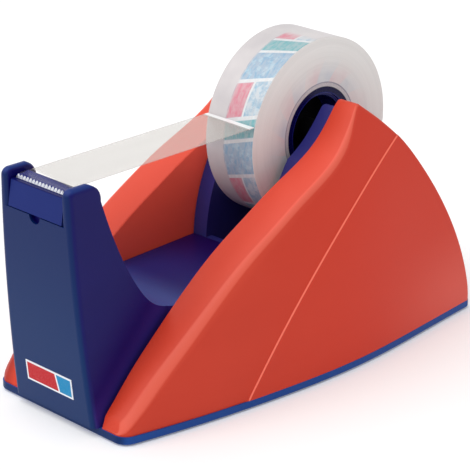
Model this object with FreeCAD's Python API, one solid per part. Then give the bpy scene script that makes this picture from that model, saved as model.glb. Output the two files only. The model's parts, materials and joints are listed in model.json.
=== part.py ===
"""Desk tape dispenser: a weighted base with two side shells, a cutter tower and a lift-out roll.

Millimetres.  While the pieces are modelled, Y runs rearwards from the base's front edge and Z
runs up from the underside of the rim.  Each finished piece is then moved so that the origin lies
under the middle of the base, on the surface that the non-slip pad stands on.
"""
import FreeCAD
import Part
import math
import os

from FreeCAD import Vector

# ---- base outline ------------------------------------------------------------------------
BASE_LENGTH = 141.8
FRONT_FLAT_HALF = 23.15       # half the straight front edge
FRONT_CORNER_RADIUS = 4.5
FRONT_CORNER_TURN = 78.0       # degrees that the front corner turns through
SWELL_FRONT_STATION = 24.0     # the side's half widths, and where along the base they are
SWELL_FRONT = 31.8
SWELL_MIDDLE_STATION = 52.1
SWELL_MIDDLE = 35.6
SWELL_WIDEST_SETBACK = 57.5    # setbacks run forwards from the base's rear edge
SWELL_WIDEST = 37.3
SWELL_BACK_SETBACK = 27.6
SWELL_BACK = 35.05
REAR_HALF_WIDTH = 32.4
REAR_CORNER_RADIUS = 2.0
RIM_HEIGHT = 2.4
RIM_EDGE_RADIUS = 0.6

# ---- base tray and pad -------------------------------------------------------------------
TRAY_STEP = 1.2                # height of the raised middle that locates the shells
TRAY_STEP_INSET = 2.6
PAD_THICKNESS = 1.3
PAD_PROUD = 0.3
PAD_INSET = 4.0
PAD_EDGE_GAP = 0.2

# ---- side shells -------------------------------------------------------------------------
WALL = 2.0
BAY_HALF_WIDTH = 17.8          # inner face of each side shell
BARREL_RADIUS = 263.0          # the outer faces lean inwards along an arc of this radius
SHELL_INSET = 0.05             # outer face behind the rim's edge
STEP_DEPTH = 0.35              # fine step that crosses the outer face
PEAK_SETBACK = 47.8
PEAK_HEIGHT = 76.3             # where the band and the back would meet, before rounding
PEAK_RADIUS = 1.2
BAND_START_HEIGHT = 4.4
BAND_KNEE_STATION = 9.0        # the band is straight up to the knee and bows from there
BAND_KNEE_HEIGHT = 14.2
BAND_BOW = ((75.3, 52.9), (63.0, 42.4), (48.9, 32.3),  # (forwards of, below) the peak
            (39.3, 26.9), (27.2, 20.4), (19.0, 16.6), (9.5, 10.8))
BAND_CLIMB = 1.2               # slope of the band where it meets the peak
SHOULDER_SETBACK = 42.3        # straight from the peak to the shoulder, bowed below it
SHOULDER_HEIGHT = 72.2
BACK_BOW = ((35.9, 67.0), (31.0, 62.5), (23.9, 54.0), (8.6, 29.0))  # (setback, height) below it
HEEL_SLOPE = 0.1               # the back's lean where it reaches the rim
STEP_FOOT_STATION = 41.0       # the fine step is an arc from here to just past the back
STEP_BEND_STATION = 70.4
STEP_BEND_HEIGHT = 36.6
STEP_TOP_SETBACK = 31.3
STEP_TOP_HEIGHT = 63.7

# ---- tower and deck ----------------------------------------------------------------------
TOWER_TOP = 72.1
TOWER_OVERHANG = 6.2           # how far the top leans out over the front edge
TOWER_FOOT_OVERHANG = 1.4      # and how far the foot does
TOWER_TOP_HALF_WIDTH = 14.4
TOWER_FOOT_HALF_WIDTH = 17.0
TOWER_BACK_STATION = 4.9
TOWER_BOW_HEIGHT = 75.0        # the front face would stand upright at this height
TOWER_EDGE_RADIUS = 1.8
TOWER_SWEEP = ((4.2, 54.2), (12.2, 38.1))            # (behind the tower's back, height)
BACK_LEAN = 0.3                # slope of the tower's back just under the ears
EAR_FRONT_DROP = 2.4           # rounding of the ears' front and back
EAR_BACK_RUN = 3.6
EAR_BACK_DROP = 5.3
EAR_RADIUS = 1.1
DECK_HEIGHT = 30.0
DECK_HALF_WIDTH = 16.9
DECK_FRONT_STATION = 22.0
DECK_CORNER_RADIUS = 9.0
DECK_SWEEP_STATION = 31.0      # where the concave sweep has become the flat deck
DECK_RISE = 1.2                # the deck climbs this much to the rear

# ---- roll cradle -------------------------------------------------------------------------
CRADLE_SETBACK = 72.6
CHEEK_INNER = 12.0
CHEEK_OUTER = 17.4
CHEEK_ARC_MIDDLE = (2.0, 12.0)  # the cheeks' front edge: (behind, above) the deck's rear edge
CHEEK_ARC_END = (10.0, 28.5)
CHEEK_CROWN_RADIUS = 2.2
BAND_TO_CHEEK = 2.0            # the cheeks stop this far below the shells' bands
WELL_FLOOR = 14.0
WELL_WALL = 2.2
WELL_REAR_WALL_TOP = 34.0
PIECE_GAP = 0.3                # between neighbouring mouldings

# ---- roll and hub ------------------------------------------------------------------------
AXLE_SETBACK = 46.4
AXLE_HEIGHT = 63.6
ROLL_WIDTH = 19.0
ROLL_RADIUS = 28.4
CORE_RADIUS = 14.6
CORE_WALL = 1.2
LINER_THICKNESS = 0.25
HUB_CLEARANCE = 0.1
HUB_WALL = 2.6
HUB_LIP = 0.9
HUB_LIP_DEPTH = 1.2
HUB_WEB = 1.6
HUB_COLLAR = 1.4               # thickening at the root of each axle stub
HUB_COLLAR_END = 3.2
SPIGOTS = 3
SPIGOT_RADIUS = 1.2
SPIGOT_CIRCLE = 7.5
SPIGOT_LENGTH = 1.0
STUB_RADIUS = 3.0
STUB_FIT = 0.08
STUB_END_GAP = 0.3
GROOVE_DEPTH = 2.8
GROOVE_TILT = 35.0             # degrees that the lift-out grooves lean back from upright

# ---- cutter ------------------------------------------------------------------------------
PARTING_HEIGHT = 61.5
POCKET_HALF_WIDTH = 11.3
POCKET_FLOOR = 1.9
CUTTER_GAP = 0.3
PANEL_WALL = 1.1
PANEL_TOP = 69.2
PANEL_LEAN = 0.184             # the panel leans back by this much of its height
SHELF_HEIGHT = 64.0
SHELF_THICKNESS = 1.5
SHELF_REAR_STATION = 2.2
SHELF_EDGE_GAP = 0.2           # the shelf is this much shorter than the panel at each end
POCKET_REAR_STATION = 3.0
POCKET_BACK_TOP = 65.0
RAIL_SETBACK = 2.2
RAIL_NECK_HALF = 1.5
RAIL_NECK_HEIGHT = 1.0
RAIL_HEAD_HALF = 3.0
RAIL_HEAD_HEIGHT = 0.9
RAIL_GAP = 0.15
HOOK_WALL = 1.4
NOTCH_RADIUS = 2.2
NOTCH_DEPTH = 1.5
BLADE_THICKNESS = 0.5
BLADE_HALF_LENGTH = 10.5
BLADE_TIP_HEIGHT = 70.5
TOOTH_PITCH = 1.3
TOOTH_HEIGHT = 1.2
PEG_RADIUS = 0.8
PEG_STATION = 6.5
PEG_RISE = 1.6
PEG_LENGTH = 1.0
SEAT_GAP = 0.05                # hidden fits inside the cutter and round the screws
REST_HALF_LENGTH = 10.9
REST_REAR_STATION = 1.6
REST_HEIGHT = 70.2
REST_SHOULDER = 0.6
REST_GROOVE_DEPTH = 0.35

# ---- tape strip --------------------------------------------------------------------------
STRIP_THICKNESS = 0.25
STRIP_GAP = 0.3
PEEL_ANGLE = 165.0             # degrees round the roll, from the rear over the top
STRIP_FRONT_STATION = -2.6

# ---- badge, ballast and screws -----------------------------------------------------------
BADGE_HALF_LENGTH = 9.7
BADGE_HEIGHT = 6.2
BADGE_BOTTOM = 9.4
BADGE_THICKNESS = 0.5
BADGE_PROUD = 0.15
BALLAST_HEIGHT = 20.0
BALLAST_GAP = 0.4
BALLAST_SIDE_GAP = 1.2
BALLAST_FRONT_GAP = 2.0
BALLAST_EDGE_RADIUS = 1.0
REAR_BALLAST_HEIGHT = 7.0
REAR_BALLAST_SETBACK = 10.0
SCREW_RADIUS = 1.5
SCREW_LENGTH = 9.0
SCREW_HEAD_RADIUS = 2.7
SCREW_HEAD_HEIGHT = 1.2
SCREW_HEAD_GAP = 0.2
SCREW_SLOT_WIDTH = 0.7
SCREW_TIP_GAP = 1.0
BOSS_RADIUS = 3.2
BOSS_HEIGHT = 13.5
DECK_BOSS_TOP = 16.0
RIB_THICKNESS = 2.0
DECK_SCREW_X = 12.6
CRADLE_SCREW_X = 14.7
FRONT_SCREW_STATION = 9.0
DECK_SCREW_INSET = 6.9         # in front of the deck's rear edge
CRADLE_SCREW_INSET = 6.0       # behind the cradle's front face
CRADLE_SCREW_SETBACK = 13.0
SHELL_SCREW_INSET = 7.2
SHELL_SCREW_STATION = 24.0
SHELL_SCREW_SETBACK = 21.0

# ---- worked out from the sizes above -----------------------------------------------------
FAR = 200.0                    # longer than any piece, for cutting tools
CLOSE = 0.01                   # edges are told apart by places that agree this well
OVERCUT = 1.0                  # cutting tools reach this far past the face that they open
SINK = 0.4                     # parts of one moulding are sunk this far into each other
QUARTER_MIDDLE = 1 - math.sqrt(0.5)  # how far inside its corner a quarter round's middle lies
TRAY_TOP = RIM_HEIGHT + TRAY_STEP
PEAK_STATION = BASE_LENGTH - PEAK_SETBACK
SHOULDER_STATION = BASE_LENGTH - SHOULDER_SETBACK
AXLE_STATION = BASE_LENGTH - AXLE_SETBACK
CRADLE_STATION = BASE_LENGTH - CRADLE_SETBACK
DECK_REAR_STATION = CRADLE_STATION - PIECE_GAP
DECK_REAR_HEIGHT = DECK_HEIGHT + DECK_RISE
DECK_SLOPE = DECK_RISE / (DECK_REAR_STATION - DECK_SWEEP_STATION)
TOWER_ROOF = PARTING_HEIGHT - POCKET_FLOOR
ROLL_HALF_WIDTH = ROLL_WIDTH / 2
HUB_RADIUS = CORE_RADIUS - CORE_WALL - HUB_CLEARANCE
PAD_RECESS = PAD_THICKNESS - PAD_PROUD
SHELL_REAR_STATION = BASE_LENGTH - SHELL_INSET


# ---- small tools -------------------------------------------------------------------------
def yz(y, z):
    """A point of a side profile, in the plane X = 0."""
    return Vector(0, y, z)


def line(start, end):
    return Part.LineSegment(start, end).toShape()


def arc(start, middle, end):
    return Part.Arc(start, middle, end).toShape()


def spline(points, start_tangent=None, end_tangent=None):
    """A smooth curve through the points."""
    curve = Part.BSplineCurve()
    if start_tangent is None:
        curve.interpolate(points)
    else:
        curve.interpolate(Points=points, InitialTangent=start_tangent, FinalTangent=end_tangent)
    return curve.toShape()


def loop(points):
    """Straight edges from point to point, back to the first."""
    return [line(a, b) for a, b in zip(points, points[1:] + points[:1])]


def moved_inwards(face, inset):
    """A flat face with its outline moved inwards, as lines, arcs and splines."""
    edges = []
    for edge in face.makeOffset2D(-inset).OuterWire.OrderedEdges:
        curve = edge.Curve
        if curve.TypeId == "Part::GeomOffsetCurve":
            edge = curve.toBSpline(edge.FirstParameter, edge.LastParameter).toShape()
        edges.append(edge)
    return Part.Face(Part.Wire(Part.__sortEdges__(edges)))


def prism(edges, low_x, high_x, inset=0):
    """A profile drawn in the plane X = 0, moved inwards and extruded from low_x to high_x."""
    face = Part.Face(Part.Wire(Part.__sortEdges__(edges)))
    if inset > 0:
        face = moved_inwards(face, inset)
    face.translate(Vector(low_x, 0, 0))
    return face.extrude(Vector(high_x - low_x, 0, 0))


def wall(edges, low_z, high_z):
    """A plan outline drawn in the plane Z = 0, extruded from low_z to high_z."""
    face = Part.Face(Part.Wire(Part.__sortEdges__(edges)))
    face.translate(Vector(0, 0, low_z))
    return face.extrude(Vector(0, 0, high_z - low_z))


def block(low_x, high_x, low_y, high_y, low_z, high_z):
    return Part.makeBox(high_x - low_x, high_y - low_y, high_z - low_z, Vector(low_x, low_y, low_z))


def rod_x(radius, low_x, high_x, y, z):
    return Part.makeCylinder(radius, high_x - low_x, Vector(low_x, y, z), Vector(1, 0, 0))


def rod_y(radius, low_y, high_y, x, z):
    return Part.makeCylinder(radius, high_y - low_y, Vector(x, low_y, z), Vector(0, 1, 0))


def rod_z(radius, low_z, high_z, x, y):
    return Part.makeCylinder(radius, high_z - low_z, Vector(x, y, low_z), Vector(0, 0, 1))


def ring_x(outer, inner, low_x, high_x, y, z):
    return rod_x(outer, low_x, high_x, y, z).cut(rod_x(inner, low_x, high_x, y, z))


def mirrored(shape):
    return shape.mirror(Vector(0, 0, 0), Vector(1, 0, 0))


def both_sides(shape):
    """The shape and its mirror image across the middle plane."""
    return [shape, mirrored(shape)]


def rounded(shape, radius, chosen):
    """Fillet the edges for which chosen(edge) is true."""
    return shape.makeFillet(radius, [edge for edge in shape.Edges if chosen(edge)])


def corner_arc(corner, way_in, way_out, radius):
    """The arc that rounds a corner between two straight directions."""
    way_in = Vector(way_in).normalize()
    way_out = Vector(way_out).normalize()
    turn = way_in.getAngle(way_out)
    reach = radius * math.tan(turn / 2)
    start = corner - way_in * reach
    end = corner + way_out * reach
    inward = (way_out - way_in).normalize()
    middle = corner + inward * radius * (1 / math.cos(turn / 2) - 1)
    return arc(start, middle, end)


# ---- base outline ------------------------------------------------------------------------
def side_edges(inset, lean, height):
    """The right half of the base outline, from the front flat round to the rear edge.

    inset moves the outline inwards, and lean shifts it towards the middle plane."""
    turn = math.radians(FRONT_CORNER_TURN)
    corner = FRONT_CORNER_RADIUS - inset
    centre = Vector(FRONT_FLAT_HALF - lean, FRONT_CORNER_RADIUS, height)

    def on_corner(angle):
        return centre + Vector(corner * math.sin(angle), -corner * math.cos(angle), 0)

    rear_radius = max(REAR_CORNER_RADIUS - inset, CLOSE)
    rear_x = REAR_HALF_WIDTH - inset - lean
    rear_y = BASE_LENGTH - inset
    diagonal = rear_radius * QUARTER_MIDDLE
    side = [on_corner(turn)]
    for station, half_width in side_stations():
        side.append(Vector(half_width - inset - lean, station, height))
    side.append(Vector(rear_x, rear_y - rear_radius, height))
    return [
        arc(on_corner(0), on_corner(turn / 2), on_corner(turn)),
        spline(side),
        arc(side[-1], Vector(rear_x - diagonal, rear_y - diagonal, height),
            Vector(rear_x - rear_radius, rear_y, height)),
    ]


def side_stations():
    """Where along the base the side's half widths are given."""
    return [
        (SWELL_FRONT_STATION, SWELL_FRONT),
        (SWELL_MIDDLE_STATION, SWELL_MIDDLE),
        (BASE_LENGTH - SWELL_WIDEST_SETBACK, SWELL_WIDEST),
        (BASE_LENGTH - SWELL_BACK_SETBACK, SWELL_BACK),
    ]


def half_width_at(station):
    """Half the base's width at a station, on the side curve."""
    edge = side_edges(0, 0, 0)[1]
    cut = edge.common(block(0, FAR, station - CLOSE, station + CLOSE, -OVERCUT, OVERCUT))
    return cut.BoundBox.XMax


def half_outline(inset, inner_x, lean, height):
    """A closed half outline that ends at the plane X = inner_x."""
    edges = side_edges(inset, lean, height)
    front = edges[0].Vertexes[0].Point
    rear = edges[-1].Vertexes[-1].Point
    return edges + [
        line(rear, Vector(inner_x, rear.y, height)),
        line(Vector(inner_x, rear.y, height), Vector(inner_x, front.y, height)),
        line(Vector(inner_x, front.y, height), front),
    ]


def full_plate(inset, low_z, high_z):
    half = wall(half_outline(inset, 0, 0, 0), low_z, high_z)
    return half.fuse(mirrored(half)).removeSplitter()


# ---- base tray, pad and screws -----------------------------------------------------------
def screw_places():
    """Where the screws come up through the tray: (x, station) on the right-hand side."""
    cradle_rear = BASE_LENGTH - CRADLE_SCREW_SETBACK
    shell_rear = BASE_LENGTH - SHELL_SCREW_SETBACK
    return {
        "deck": [(DECK_SCREW_X, FRONT_SCREW_STATION), (DECK_SCREW_X, DECK_REAR_STATION - DECK_SCREW_INSET)],
        "cradle": [(CRADLE_SCREW_X, CRADLE_STATION + CRADLE_SCREW_INSET), (CRADLE_SCREW_X, cradle_rear)],
        "shell": [(half_width_at(SHELL_SCREW_STATION) - SHELL_SCREW_INSET, SHELL_SCREW_STATION),
                  (half_width_at(shell_rear) - SHELL_SCREW_INSET, shell_rear)],
    }


def raised_middle(clearance):
    """The tray's raised middle, grown by a clearance."""
    return full_plate(TRAY_STEP_INSET - clearance, RIM_HEIGHT, TRAY_TOP)


def base_tray(places):
    tray = full_plate(0, 0, RIM_HEIGHT)
    tray = rounded(tray, RIM_EDGE_RADIUS, lambda e: e.BoundBox.ZMax < CLOSE)
    tray = tray.fuse(raised_middle(0)).removeSplitter()
    tray = tray.cut(full_plate(PAD_INSET - PAD_EDGE_GAP, -OVERCUT, PAD_RECESS))
    head_top = PAD_RECESS + SCREW_HEAD_HEIGHT + SEAT_GAP
    for group in places.values():
        for x, station in group:
            for side in (x, -x):
                tray = tray.cut(rod_z(SCREW_HEAD_RADIUS + SCREW_HEAD_GAP, 0, head_top, side, station))
                tray = tray.cut(rod_z(SCREW_RADIUS + SEAT_GAP, 0, FAR, side, station))
    return tray


def non_slip_pad():
    return full_plate(PAD_INSET, -PAD_PROUD, PAD_RECESS)


def screw(x, station):
    """A pan-head screw with a slot, head down in the tray's counterbore."""
    head_top = PAD_RECESS + SCREW_HEAD_HEIGHT
    body = rod_z(SCREW_HEAD_RADIUS, PAD_RECESS, head_top, x, station)
    body = body.fuse(rod_z(SCREW_RADIUS, head_top, head_top + SCREW_LENGTH, x, station))
    slot = block(x - FAR, x + FAR, station - SCREW_SLOT_WIDTH / 2, station + SCREW_SLOT_WIDTH / 2,
                 0, PAD_RECESS + SCREW_HEAD_HEIGHT / 2)
    return body.cut(slot)


def screw_group(group):
    solids = []
    for x, station in group:
        solids += [screw(x, station), screw(-x, station)]
    return Part.makeCompound(solids)


def screw_hole(x, station):
    """The pilot hole above the tray."""
    tip = PAD_RECESS + SCREW_HEAD_HEIGHT + SCREW_LENGTH
    return rod_z(SCREW_RADIUS + SEAT_GAP, 0, tip + SCREW_TIP_GAP, x, station)


# ---- side shells -------------------------------------------------------------------------
def band_edges():
    """The side profile of a shell: up the sloping band, over the peak and down the back."""
    foot = yz(0, BAND_START_HEIGHT)
    knee = yz(BAND_KNEE_STATION, BAND_KNEE_HEIGHT)
    peak = yz(PEAK_STATION, PEAK_HEIGHT)
    shoulder = yz(SHOULDER_STATION, SHOULDER_HEIGHT)
    heel = yz(SHELL_REAR_STATION, 0)
    climb = yz(1, BAND_CLIMB)
    back_slope = shoulder - peak
    crown = corner_arc(peak, climb, back_slope, PEAK_RADIUS)
    bow = [yz(PEAK_STATION - forwards, PEAK_HEIGHT - below) for forwards, below in BAND_BOW]
    back = [yz(BASE_LENGTH - setback, height) for setback, height in BACK_BOW]
    return [
        line(foot, knee),
        spline([knee] + bow + [crown.Vertexes[0].Point], knee - foot, climb),
        crown,
        line(crown.Vertexes[-1].Point, shoulder),
        spline([shoulder] + back + [heel], back_slope, yz(HEEL_SLOPE, -1)),
    ]


def band_prism(drop, low_x, high_x):
    """What lies inside the shells' side profile, drop below its surface."""
    edges = band_edges()
    foot = edges[0].Vertexes[0].Point
    heel = edges[-1].Vertexes[-1].Point
    below_heel = yz(heel.y, -FAR)
    below_foot = yz(foot.y, -FAR)
    edges += [line(heel, below_heel), line(below_heel, below_foot), line(below_foot, foot)]
    return prism(edges, low_x, high_x, drop)


def barrel(inset, inner_x, low_z):
    """Half the base outline carried upwards, leaning inwards along the barrel arc."""
    sections = []
    levels = 5
    for level in range(levels):
        height = low_z + (PEAK_HEIGHT + WALL - low_z) * level / (levels - 1)
        lean = BARREL_RADIUS - math.sqrt(BARREL_RADIUS ** 2 - height ** 2)
        sections.append(Part.Wire(half_outline(inset, inner_x, lean, height)))
    return Part.makeLoft(sections, True, False)


def step_region():
    """Everything in front of and above the fine step that crosses the outer face."""
    foot = yz(STEP_FOOT_STATION, RIM_HEIGHT)
    top = yz(BASE_LENGTH - STEP_TOP_SETBACK, STEP_TOP_HEIGHT)
    edges = [arc(foot, yz(STEP_BEND_STATION, STEP_BEND_HEIGHT), top)]
    edges += [line(top, yz(top.y, FAR)), line(yz(top.y, FAR), yz(-FAR, FAR))]
    edges += [line(yz(-FAR, FAR), yz(-FAR, -FAR)), line(yz(-FAR, -FAR), yz(foot.y, -FAR))]
    edges.append(line(yz(foot.y, -FAR), foot))
    return prism(edges, 0, FAR)


def side_shell(places):
    """The right-hand shell, hollow and open underneath."""
    region = step_region()
    profile = band_prism(0, 0, FAR)
    plain = barrel(SHELL_INSET + STEP_DEPTH, BAY_HALF_WIDTH, RIM_HEIGHT).common(profile)
    proud = barrel(SHELL_INSET, BAY_HALF_WIDTH, RIM_HEIGHT).common(profile)
    shell = plain.common(region).fuse(proud.cut(region)).removeSplitter()
    cavity = barrel(SHELL_INSET + STEP_DEPTH + WALL, BAY_HALF_WIDTH + WALL, 0)
    cavity = cavity.common(band_prism(WALL, 0, FAR))
    shell = shell.cut(cavity)
    for x, station in places["shell"]:
        boss = rod_z(BOSS_RADIUS, TRAY_TOP, BOSS_HEIGHT, x, station)
        rib = block(x, x + 2 * BOSS_RADIUS, station - RIB_THICKNESS / 2, station + RIB_THICKNESS / 2,
                    TRAY_TOP, BOSS_HEIGHT)
        shell = shell.fuse(boss.fuse(rib).common(plain))
        shell = shell.cut(screw_hole(x, station))
    return shell.cut(raised_middle(SEAT_GAP))


# ---- tower and deck ----------------------------------------------------------------------
def front_face(height):
    """How far forward the tower's front face stands at a height: it bows out over the edge."""
    bow = 1 - (1 - height / TOWER_BOW_HEIGHT) ** 2
    return -TOWER_FOOT_OVERHANG - (TOWER_OVERHANG - TOWER_FOOT_OVERHANG) * bow


def tower_profile():
    """The side profile of the tower and deck, which runs on below the tray."""
    brow = yz(front_face(TOWER_TOP - EAR_FRONT_DROP), TOWER_TOP - EAR_FRONT_DROP)
    middle = (RIM_HEIGHT + brow.z) / 2
    foot = yz(front_face(RIM_HEIGHT), RIM_HEIGHT)
    crown_front = yz(brow.y + EAR_FRONT_DROP, TOWER_TOP)
    crown_back = yz(TOWER_BACK_STATION - EAR_BACK_RUN, TOWER_TOP)
    back_top = yz(TOWER_BACK_STATION, TOWER_TOP - EAR_BACK_DROP)
    sweep = [yz(TOWER_BACK_STATION + behind, height) for behind, height in TOWER_SWEEP]
    deck_front = yz(DECK_SWEEP_STATION, DECK_HEIGHT)
    deck_rear = yz(DECK_REAR_STATION, DECK_REAR_HEIGHT)
    below_rear = yz(DECK_REAR_STATION, -FAR)
    below_foot = yz(foot.y, -FAR)
    front_round = EAR_FRONT_DROP * QUARTER_MIDDLE
    back_middle = yz(TOWER_BACK_STATION - EAR_BACK_RUN * QUARTER_MIDDLE,
                     TOWER_TOP - EAR_BACK_DROP * QUARTER_MIDDLE)
    return [
        arc(foot, yz(front_face(middle), middle), brow),
        arc(brow, yz(brow.y + front_round, TOWER_TOP - front_round), crown_front),
        line(crown_front, crown_back),
        arc(crown_back, back_middle, back_top),
        spline([back_top] + sweep + [deck_front], yz(BACK_LEAN, -1), yz(1, DECK_SLOPE)),
        line(deck_front, deck_rear),
        line(deck_rear, below_rear),
        line(below_rear, below_foot),
        line(below_foot, foot),
    ]


def taper(inset):
    """The tower's two side faces, drawing in towards the top."""
    foot = TOWER_FOOT_HALF_WIDTH - inset
    top = TOWER_TOP_HALF_WIDTH - inset
    corners = [Vector(-foot, 0, 0), Vector(foot, 0, 0), Vector(top, 0, TOWER_TOP), Vector(-top, 0, TOWER_TOP)]
    face = Part.Face(Part.Wire(loop(corners)))
    face.translate(Vector(0, -FAR, 0))
    return face.extrude(Vector(0, 2 * FAR, 0))


def deck_plan(inset):
    """The deck's plan, with large rounded front corners."""
    half = DECK_HALF_WIDTH - inset
    plan = block(-half, half, DECK_FRONT_STATION + inset, DECK_REAR_STATION - inset, 0, FAR)
    front = DECK_FRONT_STATION + inset + CLOSE
    return rounded(plan, DECK_CORNER_RADIUS - inset,
                   lambda e: e.BoundBox.ZLength > FAR / 2 and e.BoundBox.YMax < front)


def tower_and_deck(inset):
    """The tower and the deck as two solids, moved inwards by inset on every side."""
    profile = prism(tower_profile(), -FAR, FAR, inset)
    tower = profile.common(taper(inset)).common(block(-FAR, FAR, -FAR, DECK_SWEEP_STATION, 0, FAR))
    return tower, profile.common(deck_plan(inset))


def cutter_pocket():
    """The space between the ears that the cutter slides into."""
    corners = [yz(-FAR, PARTING_HEIGHT), yz(POCKET_REAR_STATION, PARTING_HEIGHT),
               yz(POCKET_REAR_STATION, POCKET_BACK_TOP), yz(FAR, POCKET_BACK_TOP),
               yz(FAR, FAR), yz(-FAR, FAR)]
    return prism(loop(corners), -POCKET_HALF_WIDTH, POCKET_HALF_WIDTH)


def guide_rail():
    """The T-shaped rail on the pocket's floor that the cutter hooks under."""
    low_y = front_face(PARTING_HEIGHT) + RAIL_SETBACK
    neck_top = PARTING_HEIGHT + RAIL_NECK_HEIGHT
    neck = block(-RAIL_NECK_HALF, RAIL_NECK_HALF, low_y, POCKET_REAR_STATION, PARTING_HEIGHT, neck_top)
    head = block(-RAIL_HEAD_HALF, RAIL_HEAD_HALF, low_y, POCKET_REAR_STATION,
                 neck_top, neck_top + RAIL_HEAD_HEIGHT)
    return neck.fuse(head)


def badge_slab(grow, depth):
    """The badge's place on the front face: grow widens it and depth sinks its back."""
    low = BADGE_BOTTOM - grow
    high = BADGE_BOTTOM + BADGE_HEIGHT + grow
    corners = [
        yz(front_face(low) - BADGE_PROUD, low),
        yz(front_face(high) - BADGE_PROUD, high),
        yz(front_face(high) + depth, high),
        yz(front_face(low) + depth, low),
    ]
    half = BADGE_HALF_LENGTH + grow
    return prism(loop(corners), -half, half)


def tower_body(places):
    """The tower with its two ears, and the deck behind it, hollow and open underneath."""
    tower, deck = tower_and_deck(0)
    tower = rounded(tower, TOWER_EDGE_RADIUS, is_front_corner)
    tower = rounded(tower.cut(cutter_pocket()), EAR_RADIUS, is_ear_inner_edge)
    body = tower.fuse(deck.cut(cutter_pocket()))
    tower_hollow, deck_hollow = tower_and_deck(WALL)
    cavity = tower_hollow.common(block(-FAR, FAR, -FAR, FAR, 0, TOWER_ROOF)).fuse(deck_hollow)
    bosses = [(side, station) for x, station in places["deck"] for side in (x, -x)]
    for x, station in bosses:
        cavity = cavity.cut(rod_z(BOSS_RADIUS, 0, DECK_BOSS_TOP, x, station))
    body = body.cut(cavity).fuse(guide_rail())
    for x, station in bosses:
        body = body.cut(screw_hole(x, station))
    notch = rod_y(NOTCH_RADIUS, -FAR, front_face(PARTING_HEIGHT) + NOTCH_DEPTH, 0, PARTING_HEIGHT)
    body = body.cut(notch)
    body = body.cut(badge_slab(SEAT_GAP, BADGE_THICKNESS - BADGE_PROUD + SEAT_GAP))
    body = body.common(block(-FAR, FAR, -FAR, FAR, RIM_HEIGHT, FAR))
    return body.cut(raised_middle(SEAT_GAP)).removeSplitter()


def is_front_corner(edge):
    """The long edges where the tower's side faces meet its front and its crown."""
    box = edge.BoundBox
    on_side = abs(box.Center.x) > (POCKET_HALF_WIDTH + TOWER_TOP_HALF_WIDTH) / 2
    return on_side and box.YMax < SHELF_REAR_STATION and box.ZMax > RIM_HEIGHT


def is_ear_inner_edge(edge):
    """The edges that run round the ears' inner faces, front, crown and back."""
    box = edge.BoundBox
    on_inner_face = abs(abs(box.Center.x) - POCKET_HALF_WIDTH) < CLOSE and box.XLength < CLOSE
    return on_inner_face and box.ZMax > POCKET_BACK_TOP + OVERCUT


# ---- roll cradle -------------------------------------------------------------------------
def stub_groove(low_x, high_x):
    """The half-round seat of an axle stub and the slot that leads out of it."""
    radius = STUB_RADIUS + STUB_FIT
    slot = block(low_x, high_x, -radius, radius, 0, FAR)
    slot.rotate(Vector(0, 0, 0), Vector(1, 0, 0), -GROOVE_TILT)
    slot.translate(yz(AXLE_STATION, AXLE_HEIGHT))
    return slot.fuse(rod_x(radius, low_x, high_x, AXLE_STATION, AXLE_HEIGHT))


def cheek_front():
    """Everything behind the cheeks' front edge, which arcs back from the deck."""
    low = yz(CRADLE_STATION, 0)
    bend = yz(CRADLE_STATION, DECK_REAR_HEIGHT)
    through = bend + yz(*CHEEK_ARC_MIDDLE)
    high = bend + yz(*CHEEK_ARC_END)
    edges = [line(low, bend), arc(bend, through, high), line(high, yz(high.y, FAR))]
    edges += [line(yz(high.y, FAR), yz(FAR, FAR)), line(yz(FAR, FAR), yz(FAR, 0)), line(yz(FAR, 0), low)]
    return prism(edges, -FAR, FAR)


def roll_cradle(places):
    cradle = band_prism(BAND_TO_CHEEK, -CHEEK_OUTER, CHEEK_OUTER)
    cradle = rounded(cradle, CHEEK_CROWN_RADIUS, lambda e: e.BoundBox.ZMin > PEAK_HEIGHT - 2 * BAND_TO_CHEEK
                     and e.BoundBox.XLength > CHEEK_OUTER)
    cradle = cradle.common(cheek_front())
    front_wall = CRADLE_STATION + WELL_WALL
    inner = band_prism(BAND_TO_CHEEK + WELL_WALL, -CHEEK_INNER, CHEEK_INNER)
    well = inner.common(block(-FAR, FAR, front_wall, FAR, WELL_FLOOR, FAR))
    under = inner.common(block(-FAR, FAR, front_wall, FAR, 0, WELL_FLOOR - WELL_WALL))
    cradle = cradle.cut(well).cut(under)
    cradle = cradle.cut(block(-CHEEK_INNER, CHEEK_INNER, -FAR, AXLE_STATION, DECK_REAR_HEIGHT, FAR))
    cradle = cradle.cut(block(-CHEEK_INNER, CHEEK_INNER, AXLE_STATION, FAR, WELL_REAR_WALL_TOP, FAR))
    for low_x in (CHEEK_INNER - OVERCUT, -CHEEK_INNER - GROOVE_DEPTH):
        cradle = cradle.cut(stub_groove(low_x, low_x + GROOVE_DEPTH + OVERCUT))
    for x, station in places["cradle"]:
        for side in (x, -x):
            cradle = cradle.cut(screw_hole(side, station))
    return cradle.common(block(-FAR, FAR, 0, FAR, TRAY_TOP, FAR)).removeSplitter()


def ballast(low_y, high_y, half_width, height, bosses):
    """A cast weight that lies on the tray, with room for the screw bosses."""
    weight = block(-half_width, half_width, low_y, high_y, TRAY_TOP, TRAY_TOP + height)
    weight = rounded(weight, BALLAST_EDGE_RADIUS, lambda e: e.BoundBox.ZMin > TRAY_TOP + CLOSE)
    for x, station in bosses:
        for side in (x, -x):
            weight = weight.cut(rod_z(BOSS_RADIUS + BALLAST_GAP, 0, FAR, side, station))
    return weight


def deck_ballast(places):
    half_width = DECK_HALF_WIDTH - WALL - BALLAST_SIDE_GAP
    low_y = front_face(RIM_HEIGHT) + WALL + BALLAST_FRONT_GAP
    return ballast(low_y, DECK_REAR_STATION - WALL - BALLAST_GAP, half_width, BALLAST_HEIGHT, places["deck"])


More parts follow.
